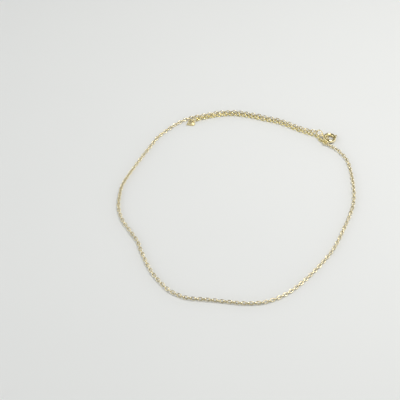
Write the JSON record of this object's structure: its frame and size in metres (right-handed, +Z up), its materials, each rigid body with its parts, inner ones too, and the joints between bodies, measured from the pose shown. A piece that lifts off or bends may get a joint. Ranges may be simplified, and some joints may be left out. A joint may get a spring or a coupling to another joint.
{
  "type": "heart charm chain bracelet",
  "caption": "Fine cable chain bracelet lying as one loose loop, closed by a spring ring clasp, with an extender tail that ends in a small heart charm.",
  "frame": {"origin": "under the middle of the loop's bounding box, on the surface that the bracelet lies on", "axes": "+Z up; +Y across the loop towards the clasp and the heart; +X to the right, towards the clasp's end"},
  "size_m": [0.0807, 0.0844, 0.0026],
  "materials": {
    "chain_gold": "gold-plated wire, satin to bright",
    "polished_gold": "gold-plated, polished"
  },
  "bodies": {
    "bracelet": {"main_chain": "chain_gold", "extender_chain": "chain_gold", "clasp_ring": "polished_gold", "clasp_jump_ring": "polished_gold", "catch_ring": "polished_gold", "charm_jump_ring": "polished_gold", "heart_charm": "polished_gold"},
    "bolt": {"clasp_bolt": "polished_gold"}
  },
  "joints": [
    {"name": "bolt_slide", "type": "hinge", "parent": "bracelet", "child": "bolt", "pos_m": [0.03339, 0.0285, 0.0008], "axis": [0.0768, 0.1098, 0.991], "range_deg": [0, 48], "stiffness_Nm_per_rad": 0.0024, "springref_deg": -17.19}
  ]
}
